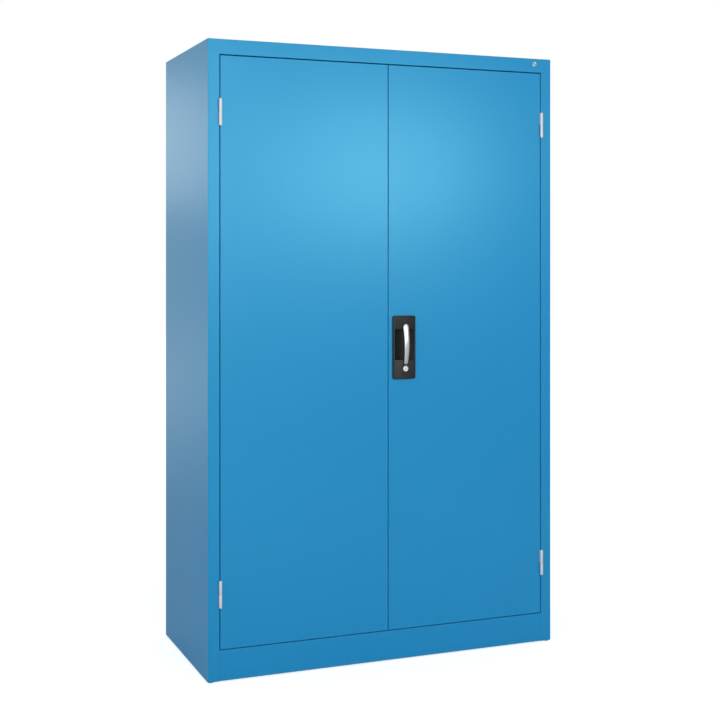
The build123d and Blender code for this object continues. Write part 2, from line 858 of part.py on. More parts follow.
tongue_back = tongue_front + tongue_thickness
with BuildPart() as pinion:
    with BuildSketch(facing(rod_front)):
        with BuildLine():
            rim = []
            for tooth in range(gear_teeth):
                rim += pinion_tooth(2 * pi * tooth / gear_teeth)
            Polyline(*rim, close=True)
        make_face()
    extrude(amount=rod_thickness)
    bar(lock_x, hub_z, (tongue_back, rod_front), pinion_hub)
    bar(lock_x, hub_z, (rod_back, cover_back + journal_reach), pinion_journal)
    with BuildSketch(facing(tongue_back)):
        with Locations((lock_x, -hub_z)):
            Rectangle(spindle_square + 2 * slip, spindle_square + 2 * slip)
    extrude(amount=cover_back + journal_reach - tongue_back, mode=Mode.SUBTRACT)

# Tongue: points up when the cabinet is unlocked and swings behind the left door when it is locked.
with BuildPart() as tongue:
    with BuildSketch(facing(tongue_front)):
        with Locations((lock_x, -hub_z)):
            Circle(tongue_radius)
        with Locations((lock_x, -hub_z - tongue_length)):
            Circle(tongue_tip)
        make_hull()
        with Locations((lock_x, -hub_z)):
            Rectangle(spindle_square + 2 * slip, spindle_square + 2 * slip, mode=Mode.SUBTRACT)
    extrude(amount=tongue_thickness)

# Spindle: round in the escutcheon, square behind it.
with BuildPart() as spindle:
    bar(lock_x, hub_z, (-spindle_front, tongue_front), spindle_radius)
    with BuildSketch(facing(tongue_front)):
        with Locations((lock_x, -hub_z)):
            Rectangle(spindle_square, spindle_square)
    extrude(amount=cover_back + journal_reach - running - tongue_front)
    bar(lock_x, hub_z, (tongue_back, cover_back + journal_reach), screw_radius + slip, Mode.SUBTRACT)
with BuildPart() as spindle_washer:
    washer_seat = cover_back + journal_reach
    bar(lock_x, hub_z, (washer_seat, washer_seat + washer_thickness), tongue_radius)
    bar(lock_x, hub_z, (washer_seat, washer_seat + washer_thickness), screw_radius + slip, Mode.SUBTRACT)
with BuildPart() as spindle_screw:
    screw_seat = washer_seat + washer_thickness
    bar(lock_x, hub_z, (rod_front, screw_seat), screw_radius)
    bar(lock_x, hub_z, (screw_seat, screw_seat + head_height), head_radius)

# Handle bow: arched bar on a round hub, its lower tip free.
hub_top = hub_z + hub_radius
hub_back = -plate_crown - hub_clearance
bow_bottom = bow_tip_z - bow_tip
bow_middle = (hub_top + bow_bottom) / 2
with BuildPart() as handle_bow:
    with BuildSketch(Plane.YZ.offset(lock_x - hub_radius)):
        with BuildLine():
            ThreePointArc(
                (behind(-bow_end), hub_top),
                (behind(-bow_reach), bow_middle),
                (behind(-bow_end), bow_bottom),
            )
            Line((behind(-bow_end), bow_bottom), (behind(hub_back), bow_bottom))
            ThreePointArc(
                (behind(hub_back), bow_bottom),
                (behind(bow_thickness - bow_reach), bow_middle),
                (behind(hub_back), hub_z - hub_radius),
            )
            Polyline(
                (behind(hub_back), hub_z - hub_radius),
                (behind(hub_back), hub_top),
                (behind(-bow_end), hub_top),
            )
        make_face()
    extrude(amount=2 * hub_radius)
    with BuildSketch(facing(-bow_reach - relief)):
        with Locations((lock_x, -hub_z)):
            Circle(hub_radius)
        with Locations((lock_x, -bow_waist_z)):
            Circle(bow_waist)
        with Locations((lock_x, -bow_tip_z)):
            Circle(bow_tip)
        make_hull()
    extrude(amount=bow_reach, mode=Mode.INTERSECT)
    bar(lock_x, hub_z, (-spindle_front, hub_back), spindle_radius + slip, Mode.SUBTRACT)

# Lock cylinder in the escutcheon, with its nut, plug, cam and cam screw.
with BuildPart() as cylinder_housing:
    bar(lock_x, cylinder_z, (-plate_crown - cylinder_flange_thickness, -plate_crown), cylinder_flange)
    bar(lock_x, cylinder_z, (-plate_crown, cylinder_depth), cylinder_radius)
    bar(
        lock_x,
        cylinder_z,
        (-plate_crown - cylinder_flange_thickness, cylinder_depth),
        plug_radius + running,
        Mode.SUBTRACT,
    )
with BuildPart() as lock_nut:
    with BuildSketch(facing(plate_wall - plate_crown)):
        with Locations((lock_x, -cylinder_z)):
            RegularPolygon(cylinder_nut / 2, 6, major_radius=False)
            Circle(cylinder_radius + slip, mode=Mode.SUBTRACT)
    extrude(amount=nut_thickness)
with BuildPart() as key_plug:
    plug_front = -plate_crown - cylinder_flange_thickness
    bar(lock_x, cylinder_z, (plug_front, plug_depth), plug_radius)
    block(
        (lock_x - key_slot_width / 2, lock_x + key_slot_width / 2),
        (behind(plug_front), behind(plug_front + key_slot_depth)),
        (cylinder_z - key_slot_height / 2, cylinder_z + key_slot_height / 2),
        Mode.SUBTRACT,
    )
    bar(lock_x, cylinder_z, (tub_depth, plug_depth), screw_radius + slip, Mode.SUBTRACT)
with BuildPart() as lock_cam:
    with BuildSketch(facing(plug_depth)):
        with Locations((lock_x, -cylinder_z)):
            Circle(plug_radius)
        with Locations((lock_x, -cylinder_z - cam_length)):
            Circle(cam_tip)
        make_hull()
        with Locations((lock_x, -cylinder_z)):
            Circle(screw_radius + slip, mode=Mode.SUBTRACT)
    extrude(amount=cam_thickness)
with BuildPart() as cam_screw:
    cam_seat = plug_depth + cam_thickness
    bar(lock_x, cylinder_z, (tub_depth + sheet, cam_seat), screw_radius)
    bar(lock_x, cylinder_z, (cam_seat, cam_seat + head_height), head_radius)

# Blanking cap at the right end of the header: a ring round a stemmed disc.
cap_z = body_top - cap_drop
with BuildPart() as cap_ring:
    bar(cap_x, cap_z, (-cap_proud, 0), cap_radius)
    bar(cap_x, cap_z, (-cap_proud, 0), cap_inner + slip, Mode.SUBTRACT)
with BuildPart() as cap_disc:
    bar(cap_x, cap_z, (-cap_disc_proud, 0), cap_inner)
    bar(cap_x, cap_z, (0, cap_stem_length), cap_stem)

pieces = {
    "left_side": left_side,
    "right_side": right_side,
    "top_panel": top_panel,
    "back_panel": back_panel,
    "bottom_panel": bottom_panel,
    "plinth": plinth,
    "corner_plates": corner_plates,
    "glides": glides,
    "glide_nuts": glide_nuts,
    "upright_front_left": upright_front_left,
    "upright_front_right": upright_front_right,
    "upright_rear_left": upright_rear_left,
    "upright_rear_right": upright_rear_right,
    "shelf_clips": shelf_clips,
    "shelf_lowest": shelf_lowest,
    "shelf_lower": shelf_lower,
    "shelf_upper": shelf_upper,
    "shelf_highest": shelf_highest,
    "door_buffers": door_buffers,
    "frame_knuckles": frame_knuckles,
    "left_knuckles": left_knuckles,
    "right_knuckles": right_knuckles,
    "hinge_pins": hinge_pins,
    "hinge_washers": hinge_washers,
    "left_door": left_door,
    "right_door": right_door,
    "left_stiffener": left_stiffener,
    "right_stiffener": right_stiffener,
    "escutcheon": escutcheon,
    "escutcheon_screws": escutcheon_screws,
    "lock_tray": lock_tray,
    "lock_cover": lock_cover,
    "cover_screws": cover_screws,
    "backing_blocks": backing_blocks,
    "rod_guides": rod_guides,
    "guide_screws": guide_screws,
    "upper_rod": upper_rod,
    "lower_rod": lower_rod,
    "rod_lug": rod_lug,
    "pinion": pinion,
    "tongue": tongue,
    "spindle": spindle,
    "spindle_washer": spindle_washer,
    "spindle_screw": spindle_screw,
    "handle_bow": handle_bow,
    "cylinder_housing": cylinder_housing,
    "lock_nut": lock_nut,
    "key_plug": key_plug,
    "lock_cam": lock_cam,
    "cam_screw": cam_screw,
    "cap_ring": cap_ring,
    "cap_disc": cap_disc,
}
for label, piece in pieces.items():
    piece.part.label = label
    export_step(piece.part, f"parts/{label}.step")
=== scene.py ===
import bpy
import bmesh
from math import radians, sqrt
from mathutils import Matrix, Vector


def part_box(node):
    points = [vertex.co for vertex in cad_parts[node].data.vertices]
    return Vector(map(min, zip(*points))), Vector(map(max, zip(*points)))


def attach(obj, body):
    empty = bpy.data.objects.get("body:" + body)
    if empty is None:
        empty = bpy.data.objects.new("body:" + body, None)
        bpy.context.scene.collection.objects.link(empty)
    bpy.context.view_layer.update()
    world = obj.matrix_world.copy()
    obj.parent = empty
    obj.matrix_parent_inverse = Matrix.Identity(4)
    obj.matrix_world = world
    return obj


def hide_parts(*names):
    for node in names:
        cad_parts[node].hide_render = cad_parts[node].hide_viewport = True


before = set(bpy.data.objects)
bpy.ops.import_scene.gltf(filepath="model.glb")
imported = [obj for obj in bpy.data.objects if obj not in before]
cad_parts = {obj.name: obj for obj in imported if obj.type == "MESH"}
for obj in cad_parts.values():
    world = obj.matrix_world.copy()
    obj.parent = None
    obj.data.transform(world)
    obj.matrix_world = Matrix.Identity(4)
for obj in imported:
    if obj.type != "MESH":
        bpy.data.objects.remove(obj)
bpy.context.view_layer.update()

bpy.ops.object.select_all(action="DESELECT")


# Camera: level, to the left of the cabinet and about 0.3 m above its middle, turned towards
# it. The lens is shifted, so that all uprights stay parallel.
camera_x, camera_distance, camera_height = -1.653, 3.5244, 1.2993
camera_turn = -20.08
bpy.ops.object.camera_add(
    location=(camera_x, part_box("left_door")[0][1] - camera_distance, camera_height),
    rotation=(radians(90), 0, radians(camera_turn)),
)
camera = bpy.context.object
camera.name = "front_left_camera"
camera.data.sensor_width = 36
camera.data.lens = 60.72
camera.data.shift_x = 0.1097
camera.data.shift_y = -0.147
camera.data.clip_end = 60
bpy.context.scene.camera = camera
bpy.context.scene.view_settings.view_transform = "Standard"


# Carcass: folded sheet steel panels, welded and screwed together, then sprayed with
# blue powder and baked. The coat is semi-gloss, with the fine waves of orange peel.
def coat(name, colour, roughness, peel, level=0.5, shine=(1, 1, 1, 1)):
    """Surface whose tone drifts slowly and whose gloss and relief follow a fine grain."""
    tone_drift, gloss_drift, wave_height = 0.015, 0.03, 0.0004
    paint = bpy.data.materials.new(name)
    paint.use_nodes = True
    tree = paint.node_tree
    shader = tree.nodes["Principled BSDF"]
    shader.inputs["Metallic"].default_value = 0
    shader.inputs["IOR"].default_value = 1.5
    shader.inputs["Specular IOR Level"].default_value = level
    shader.inputs["Specular Tint"].default_value = shine
    place = tree.nodes.new("ShaderNodeTexCoord")
    drift = tree.nodes.new("ShaderNodeTexNoise")
    drift.inputs["Scale"].default_value = 2.2
    drift.inputs["Detail"].default_value = 2
    tone = tree.nodes.new("ShaderNodeValToRGB")
    tone.color_ramp.elements[0].position = 0.3
    tone.color_ramp.elements[1].position = 0.7
    tone.color_ramp.elements[0].color = [c * (1 - tone_drift) for c in colour] + [1]
    tone.color_ramp.elements[1].color = [min(1, c * (1 + tone_drift)) for c in colour] + [1]
    grain = tree.nodes.new("ShaderNodeTexNoise")
    grain.inputs["Scale"].default_value = 420
    grain.inputs["Detail"].default_value = 3
    gloss = tree.nodes.new("ShaderNodeMapRange")
    gloss.inputs["To Min"].default_value = roughness - gloss_drift
    gloss.inputs["To Max"].default_value = roughness + gloss_drift
    waves = tree.nodes.new("ShaderNodeBump")
    waves.inputs["Strength"].default_value = peel
    waves.inputs["Distance"].default_value = wave_height
    tree.links.new(place.outputs["Object"], drift.inputs["Vector"])
    tree.links.new(place.outputs["Object"], grain.inputs["Vector"])
    tree.links.new(drift.outputs["Fac"], tone.inputs["Fac"])
    tree.links.new(tone.outputs["Color"], shader.inputs["Base Color"])
    tree.links.new(grain.outputs["Fac"], gloss.inputs["Value"])
    tree.links.new(gloss.outputs["Result"], shader.inputs["Roughness"])
    tree.links.new(grain.outputs["Fac"], waves.inputs["Height"])
    tree.links.new(waves.outputs["Normal"], shader.inputs["Normal"])
    return paint


def finish_node(node, material):
    """Gives a piece of the construction its material and leaves its mesh alone."""
    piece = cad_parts[node]
    if piece.material_slots:
        for slot in piece.material_slots:
            slot.material = material
    else:
        piece.data.materials.append(material)


powder_blue, cyan_shine = (0.005, 0.207, 0.475), (0.36, 1, 1, 1)
blue_coat = coat("blue_powder_coat", powder_blue, 0.34, 0.12, 1.0, cyan_shine)
for sheet in ("left_side", "right_side", "top_panel", "plinth", "back_panel", "bottom_panel"):
    finish_node(sheet, blue_coat)

# Inside sheets: corner plates, slotted uprights and shelves in the same powder, which
# goes on thinner and flatter on the inside.
inner_coat = coat("inner_powder_coat", powder_blue, 0.42, 0.12, 1.0, cyan_shine)
for sheet in (
    "corner_plates",
    "upright_front_left",
    "upright_front_right",
    "upright_rear_left",
    "upright_rear_right",
    "shelf_lowest",
    "shelf_lower",
    "shelf_upper",
    "shelf_highest",
):
    finish_node(sheet, inner_coat)


# Glides: four round moulded feet on steel studs, screwed up through the corner plates.
# Each sole has a rolled edge, so that it slides over a joint in the floor.
# A hair is the slack with which places are compared; points within weld become one.
hair = 0.0001
weld = 0.000002


def add_cylinder(name, place, radius, length, along="Z", sides=48):
    """Round bar along Z or Y, left in edit mode."""
    turn = {"Z": (0, 0, 0), "Y": (radians(90), 0, 0)}[along]
    bpy.ops.mesh.primitive_cylinder_add(
        vertices=sides, radius=radius, depth=length, location=place, rotation=turn
    )
    bpy.context.object.name = name
    bpy.ops.object.transform_apply(location=True, rotation=True, scale=True)
    bpy.ops.object.mode_set(mode="EDIT")
    return bpy.context.object


def pick_faces(wanted):
    """Selects the faces that a test of middle and normal wants."""
    bpy.ops.mesh.select_mode(type="FACE")
    bpy.ops.mesh.select_all(action="DESELECT")
    shape = bmesh.from_edit_mesh(bpy.context.object.data)
    for face in shape.faces:
        face.select_set(wanted(face.calc_center_median(), face.normal))
    bmesh.update_edit_mesh(bpy.context.object.data)


def pick_edges(wanted):
    """Selects the edges that a test of both ends wants."""
    bpy.ops.mesh.select_mode(type="EDGE")
    bpy.ops.mesh.select_all(action="DESELECT")
    shape = bmesh.from_edit_mesh(bpy.context.object.data)
    for edge in shape.edges:
        edge.select_set(wanted(edge.verts[0].co, edge.verts[1].co))
    bmesh.update_edit_mesh(bpy.context.object.data)


def push(x, y, z):
    """Extrudes what is selected."""
    bpy.ops.mesh.extrude_region_move(TRANSFORM_OT_translate={"value": (x, y, z)})


def close_edit(angle=35):
    """Welds the mesh and leaves edit mode, with sharp edges above the angle."""
    bpy.ops.mesh.select_all(action="SELECT")
    bpy.ops.mesh.remove_doubles(threshold=weld)
    bpy.ops.mesh.normals_make_consistent(inside=False)
    bpy.ops.object.mode_set(mode="OBJECT")
    bpy.ops.object.shade_smooth_by_angle(angle=radians(angle))
    return bpy.context.object


def choose(group):
    """Selects these objects alone, the first one active."""
    bpy.ops.object.select_all(action="DESELECT")
    for piece in group:
        piece.select_set(True)
    bpy.context.view_layer.objects.active = group[0]


def copies(piece, places):
    """Copies of a piece whose meshes are moved, so that all origins stay where they are."""
    for shift in places:
        choose([piece])
        bpy.ops.object.duplicate()
        bpy.ops.object.mode_set(mode="EDIT")
        bpy.ops.mesh.select_all(action="SELECT")
        bpy.ops.transform.translate(value=shift)
        bpy.ops.object.mode_set(mode="OBJECT")
        yield bpy.context.object


def joined(name, group):
    """One object of all the pieces in a group."""
    choose(group)
    bpy.ops.object.join()
    bpy.context.object.name = name
    return bpy.context.object


def coated(piece, material, body, node):
    """Finishes a piece and puts it on its body in the place of its node."""
    piece.data.materials.clear()
    piece.data.materials.append(material)
    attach(piece, body)
    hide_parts(node)


sole_radius = 0.010
sole_height = 0.003
stud_radius = 0.004
sole_edge, stud_edge = 0.0011, 0.0007
stud_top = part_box("glides")[1][2]
first_foot = [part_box("glides")[0][axis] + sole_radius for axis in (0, 1)]
foot_steps = [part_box("glides")[1][axis] - sole_radius - first_foot[axis] for axis in (0, 1)]
glide = add_cylinder("glide", (*first_foot, sole_height / 2), sole_radius, sole_height)
pick_faces(lambda place, normal: normal.z > 0.9)
bpy.ops.mesh.inset(thickness=sole_radius - stud_radius)
push(0, 0, stud_top - sole_height)
pick_edges(lambda a, b: max(a.z, b.z) < hair)
bpy.ops.mesh.bevel(offset=sole_edge, segments=4)
pick_edges(lambda a, b: min(a.z, b.z) > stud_top - hair)
bpy.ops.mesh.bevel(offset=stud_edge, segments=2)
glide = close_edit()
others = list(copies(glide, [(foot_steps[0], 0, 0), (0, foot_steps[1], 0), (*foot_steps, 0)]))
glides = joined("moulded_glides", [glide] + others)
glide_plastic = coat("blue_nylon", (0.012, 0.13, 0.30), 0.5, 0.2)
coated(glides, glide_plastic, "cabinet", "glides")


# Fixings of the carcass: zinc-plated nuts on the glide studs and bent clips that hook
# into the slots of the uprights and carry the shelves.
def plated(name, colour, roughness, scratch, metal=1.0):
    """Metal or plating, with fine scratches in the place of orange peel."""
    plating = coat(name, colour, roughness, scratch)
    shader = plating.node_tree.nodes["Principled BSDF"]
    shader.inputs["Metallic"].default_value = metal
    return plating


zinc = plated("zinc_plating", (0.66, 0.67, 0.69), 0.35, 0.1)
for part in ("glide_nuts", "shelf_clips"):
    finish_node(part, zinc)


# Door leaves: folded steel pans with a welded hat-section stiffener behind each skin.
# They carry the same coat outside and inside.
for sheet in ("left_door", "right_door"):
    finish_node(sheet, blue_coat)
for sheet in ("left_stiffener", "right_stiffener"):
    finish_node(sheet, inner_coat)

# Door buffers: short moulded rubber plugs on the stop lips of the carcass, which take the
# slam of the doors.
rubber = coat("buffer_rubber", (0.02, 0.02, 0.021), 0.7, 0.4)
finish_node("door_buffers", rubber)


# Hinges: bright zinc-plated lift-off barrels, half on the frame and half on the leaf, each
# with a tab welded to the sheet, rounded ends, a brass washer between and one steel pin.
barrel_radius = 0.005
bore_radius = 0.0026
barrel_floor = 0.003
barrel_edge = 0.0007
tab_thickness = 0.002
tab_edge = 0.0006


def knuckle(name, corner, low, high, tab_x, tab_back, closed_end):
    """One barrel with its tab; corner is the barrel's axis, closed_end is +1 or -1."""
    place = (*corner, (low + high) / 2)
    add_cylinder(name, place, barrel_radius, high - low, sides=40)
    open_z = high if closed_end < 0 else low
    pick_faces(lambda middle, normal: abs(normal.z) > 0.9 and abs(middle.z - open_z) < hair)
    bpy.ops.mesh.inset(thickness=barrel_radius - bore_radius)
    push(0, 0, closed_end * (high - low - barrel_floor))
    pick_edges(
        lambda a, b: abs(a.z - b.z) < hair
        and min(abs(a.z - low), abs(a.z - high)) < hair
        and (a.xy - Vector(corner)).length > barrel_radius - 2 * hair
    )
    bpy.ops.mesh.bevel(offset=barrel_edge, segments=3)
    barrel = close_edit()
    bpy.ops.mesh.primitive_cube_add(
        size=1,
        location=(tab_x, (corner[1] + tab_back) / 2, (low + high) / 2),
        scale=(tab_thickness, tab_back - corner[1], high - low),
    )
    bpy.ops.object.transform_apply(location=True, rotation=True, scale=True)
    bpy.ops.object.mode_set(mode="EDIT")
    pick_edges(lambda a, b: min(a.y, b.y) > tab_back - hair)
    bpy.ops.mesh.bevel(offset=tab_edge, segments=3)
    tab = close_edit()
    return joined(name, [barrel, tab])


bright_zinc = plated("bright_zinc_barrel", (0.69, 0.675, 0.69), 0.6, 0.06, 0.6)
frame_low, frame_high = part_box("frame_knuckles")
knuckle_length = 0.0405
washer_play = 0.00005
hinge_rise = frame_high[2] - knuckle_length - frame_low[2]
hinge_x = frame_high[0] - barrel_radius
hinge_y = frame_low[1] + barrel_radius
leaf_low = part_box("left_knuckles")[0][2]
frame_tab = 0.565
leaf_tab = tab_thickness / 2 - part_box("left_knuckles")[1][0]
tab_back = frame_high[1]
frame_end = frame_low[2] + knuckle_length
leaf_end = leaf_low + knuckle_length - washer_play
frame_group = []
for side, leaf in ((-1, "left"), (1, "right")):
    axis = (side * hinge_x, hinge_y)
    fixed = knuckle("frame_barrel", axis, frame_low[2], frame_end, side * frame_tab, tab_back, -1)
    frame_group += [fixed] + list(copies(fixed, [(0, 0, hinge_rise)]))
    moving = knuckle("leaf_barrel", axis, leaf_low, leaf_end, side * leaf_tab, tab_back, 1)
    pair = joined(leaf + "_hinge_barrels", [moving] + list(copies(moving, [(0, 0, hinge_rise)])))
    coated(pair, bright_zinc, leaf + "_leaf", leaf + "_knuckles")
fixed_barrels = joined("frame_hinge_barrels", frame_group)
coated(fixed_barrels, bright_zinc, "cabinet", "frame_knuckles")
finish_node("hinge_pins", zinc)
brass = plated("brass", (0.72, 0.55, 0.27), 0.35, 0.05)
finish_node("hinge_washers", brass)


# Escutcheon: injection-moulded black plate with a crowned front, a hollow for the fingers
# and a tub through the door skin. Fine spark-eroded grain; four screws hold it from behind.
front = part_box("right_door")[0][1]
plate_low, plate_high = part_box("escutcheon")
plate_left, plate_right = plate_low[0], plate_high[0]
plate_centre = (plate_left + plate_right) / 2
plate_bottom, plate_top = plate_low[2], plate_high[2]
plate_back = front
edge_depth, edge_round, corner_round = 0.007, 0.0014, 0.006
crown_depth = front - plate_low[1]
half_plate = (plate_right - plate_left) / 2
trough_rim, trough_rise, trough_length = 0.0055, 0.0625, 0.098
trough_half = half_plate - trough_rim
trough_bottom = plate_bottom + trough_rise
trough_top = trough_bottom + trough_length
trough_depth, trough_edge = 0.012, 0.0007
tub_back = plate_high[1]
tub_inset, pocket_wall, pocket_depth = 0.0055, 0.002, 0.008
lock_shift, cylinder_rise, hub_rise = 0.002, 0.034, 0.1675
lock_x = plate_centre + lock_shift
cylinder_z = plate_bottom + cylinder_rise
hub_z = plate_bottom + hub_rise


def arc_depth(x, middle, edge, half):
    """Depth of a shallow arc at x, with its values in the middle and at half the chord."""
    sag = middle - edge
    radius = (half**2 + sag**2) / (2 * abs(sag))
    rise = sqrt(max(0, radius**2 - x**2)) - (radius - abs(sag))
    return edge + rise * (1 if sag > 0 else -1)


bpy.ops.mesh.primitive_cube_add(
    size=1,
    location=(plate_centre, plate_back - edge_depth / 2, (plate_bottom + plate_top) / 2),
    scale=(2 * half_plate, edge_depth, plate_top - plate_bottom),
)
bpy.context.object.name = "moulded_escutcheon"
bpy.ops.object.transform_apply(location=True, rotation=True, scale=True)
bpy.ops.object.mode_set(mode="EDIT")
pick_edges(lambda a, b: abs(a.y - b.y) > edge_depth / 2)
bpy.ops.mesh.bevel(offset=corner_round, segments=6)
pick_edges(lambda a, b: max(a.y, b.y) < plate_back - edge_depth + hair)
bpy.ops.mesh.bevel(offset=edge_round, segments=4)
pick_faces(lambda middle, normal: normal.y > 0.9)
bpy.ops.mesh.inset(thickness=tub_inset)
push(0, tub_back - plate_back, 0)
steps = 28
for step in range(steps + 1):
    bpy.ops.mesh.select_all(action="SELECT")
    cut = plate_centre + trough_half * (2 * step / steps - 1)
    bpy.ops.mesh.bisect(plane_co=(cut, 0, 0), plane_no=(1, 0, 0))
for cut in (trough_bottom, trough_top):
    bpy.ops.mesh.select_all(action="SELECT")
    bpy.ops.mesh.bisect(plane_co=(0, 0, cut), plane_no=(0, 0, 1))

# Moulded pockets behind the two pads, then the hollow: its faces part from the front and
# each column of points takes its place on the crown or on the hollow's floor.
for low, high in ((plate_bottom, trough_bottom), (trough_top, plate_top)):
    pick_faces(
        lambda middle, normal: normal.y > 0.9
        and middle.y > tub_back - hair
        and low < middle.z < high
    )
    bpy.ops.mesh.inset(thickness=pocket_wall)
    push(0, front - pocket_depth - tub_back, 0)
pick_faces(
    lambda middle, normal: normal.y < -0.7
    and abs(middle.x - plate_centre) < trough_half
    and trough_bottom < middle.z < trough_top
)
push(0, 0, 0)
shape = bmesh.from_edit_mesh(bpy.context.object.data)
shape.verts.index_update()
hollow = {vert.index for vert in shape.verts if vert.select}
flat = plate_back - edge_depth
on_line = 0.00001
at_front = [vert for vert in shape.verts if abs(vert.co.y - flat) < on_line]
columns = sorted({round(vert.co.x, 6) for vert in at_front})
rim_depth = arc_depth(trough_half, crown_depth - edge_depth, 0, half_plate)
bpy.ops.mesh.select_mode(type="VERT")
for column in columns:
    offset = column - plate_centre
    crown = arc_depth(offset, crown_depth - edge_depth, 0, half_plate)
    floor_depth = arc_depth(offset, -trough_depth - edge_depth, rim_depth, trough_half)
    for sunk, rise in ((False, crown), (True, floor_depth)):
        bpy.ops.mesh.select_all(action="DESELECT")
        shape = bmesh.from_edit_mesh(bpy.context.object.data)
        for vert in shape.verts:
            on_face = abs(vert.co.x - column) < weld and abs(vert.co.y - flat) < on_line / 2
            vert.select_set(on_face and (vert.index in hollow) == sunk)
        bmesh.update_edit_mesh(bpy.context.object.data)
        bpy.ops.transform.translate(value=(0, -rise, 0))
bpy.ops.mesh.select_all(action="SELECT")
bpy.ops.mesh.remove_doubles(threshold=weld)
pick_edges(
    lambda a, b: abs(a.z - b.z) < on_line
    and min(abs(a.z - trough_bottom), abs(a.z - trough_top)) < on_line
    and abs(a.x - b.x) > 10 * hair
    and max(abs(a.x - plate_centre), abs(b.x - plate_centre)) < trough_half + hair
    and max(a.y, b.y) < flat + hair
)
bpy.ops.mesh.bevel(offset=trough_edge, segments=3)
escutcheon = close_edit(40)


def finished(piece, kind, **settings):
    """Adds a modifier to a piece and applies it."""
    choose([piece])
    change = piece.modifiers.new(kind.lower(), kind)
    for name, value in settings.items():
        setattr(change, name, value)
    bpy.ops.object.modifier_apply(modifier=change.name)


def bored(piece, x, z, radius, near, far, sides=48):
    """Cuts a round hole along Y, from the near end to the far one."""
    add_cylinder("drill", (x, (near + far) / 2, z), radius, far - near, "Y", sides)
    drill = close_edit()
    finished(piece, "BOOLEAN", object=drill, operation="DIFFERENCE", solver="EXACT")
    bpy.data.objects.remove(drill)


crown_front = front - crown_depth
seat_radius, seat_depth = 0.0118, 0.0012
cylinder_hole, spindle_hole = 0.00805, 0.00405
drill_start, drill_end = crown_front - 0.004, tub_back + 0.004
bored(escutcheon, lock_x, cylinder_z, seat_radius, drill_start, crown_front + seat_depth)
bored(escutcheon, lock_x, cylinder_z, cylinder_hole, drill_start, drill_end, 44)
bored(escutcheon, lock_x, hub_z, spindle_hole, drill_start, drill_end)
bpy.ops.object.shade_smooth_by_angle(angle=radians(40))
black = coat("black_moulded_plastic", (0.006, 0.006, 0.0065), 0.45, 0.5, 0.38)
coated(escutcheon, black, "right_leaf", "escutcheon")
finish_node("escutcheon_screws", zinc)


# Handle: one die-cast bar with a satin nickel finish. It grows out of a round hub on the
# spindle, arches over the hollow, thickest in its middle, and ends in a free rounded tip.
bow_low, bow_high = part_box("handle_bow")
hub_radius, waist, tip = 0.0095, 0.0084, 0.0065
waist_drop, tip_drop = 0.0665, 0.113
waist_z, tip_z = hub_z - waist_drop, hub_z - tip_drop
end_reach, bar_depth = 0.014, 0.0065
bow_half = (bow_high[2] - bow_low[2]) / 2
bow_middle = (bow_high[2] + bow_low[2]) / 2
rest_depth = front - bow_high[1]


def bow_width(z):
    """Half width of the bar at a height."""
    if z > hub_z:
        return sqrt(max(0, hub_radius**2 - (z - hub_z) ** 2))
    if z < tip_z:
        return sqrt(max(0, tip**2 - (tip_z - z) ** 2))
    if z > waist_z:
        return waist + (hub_radius - waist) * (z - waist_z) / (hub_z - waist_z)
    return tip + (waist - tip) * (z - tip_z) / (waist_z - tip_z)


def bow_depths(z):
    """How far the bar's outer and inner sides stand before the door at a height."""
    outer = arc_depth(z - bow_middle, front - bow_low[1], end_reach, bow_half)
    under = (hub_z - hub_radius + bow_low[2]) / 2
    inner = rest_depth
    if z < hub_z - hub_radius:
        arch = front - bow_low[1] - bar_depth
        inner = arc_depth(z - under, arch, rest_depth, under - bow_low[2])
    return outer, inner


def bow_ring(z):
    """Width, thickness and middle of the bar's section at a height."""
    outer, inner = bow_depths(z)
    return 2 * bow_width(z), outer - inner, front - (outer + inner) / 2


end_steps = (0.0001, 0.0004, 0.0011, 0.0023)
heights = [bow_low[2] + step for step in end_steps + (0.0040, 0.0065)]
bar_run, bar_steps = hub_z - hub_radius - tip_z, 20
heights += [tip_z + bar_run * step / bar_steps for step in range(1, bar_steps + 1)]
heights += [hub_z + step for step in (-0.006, -0.003, 0, 0.003, 0.0056)]
heights += [bow_high[2] - step for step in reversed(end_steps)]
section_corner = 0.4
wide, thick, middle = bow_ring(heights[0])
bpy.ops.mesh.primitive_plane_add(size=1, location=(lock_x, middle, heights[0]))
bpy.context.object.name = "cast_handle_bow"
bpy.ops.object.transform_apply(location=True, rotation=True, scale=True)
bpy.ops.object.mode_set(mode="EDIT")
bpy.ops.mesh.select_all(action="SELECT")
bpy.ops.mesh.bevel(offset=section_corner, segments=5, affect="VERTICES")
bpy.ops.mesh.select_all(action="SELECT")
bpy.ops.transform.resize(value=(wide, thick, 1), center_override=(lock_x, middle, heights[0]))
for low, high in zip(heights, heights[1:]):
    wide, thick, middle = bow_ring(low)
    wider, thicker, next_middle = bow_ring(high)
    push(0, next_middle - middle, high - low)
    bpy.ops.transform.resize(
        value=(wider / wide, thicker / thick, 1), center_override=(lock_x, next_middle, high)
    )
bow = close_edit(60)
finished(bow, "SUBSURF", levels=1, render_levels=1)
spindle_bore, bore_end, drill_over = 0.00402, 0.0155, 0.002
bored(bow, lock_x, hub_z, spindle_bore, front - bore_end, bow_high[1] + drill_over)
bpy.ops.object.shade_smooth_by_angle(angle=radians(50))
satin = plated("satin_nickel", (0.61, 0.605, 0.60), 0.36, 0.05)
coated(bow, satin, "handle", "handle_bow")


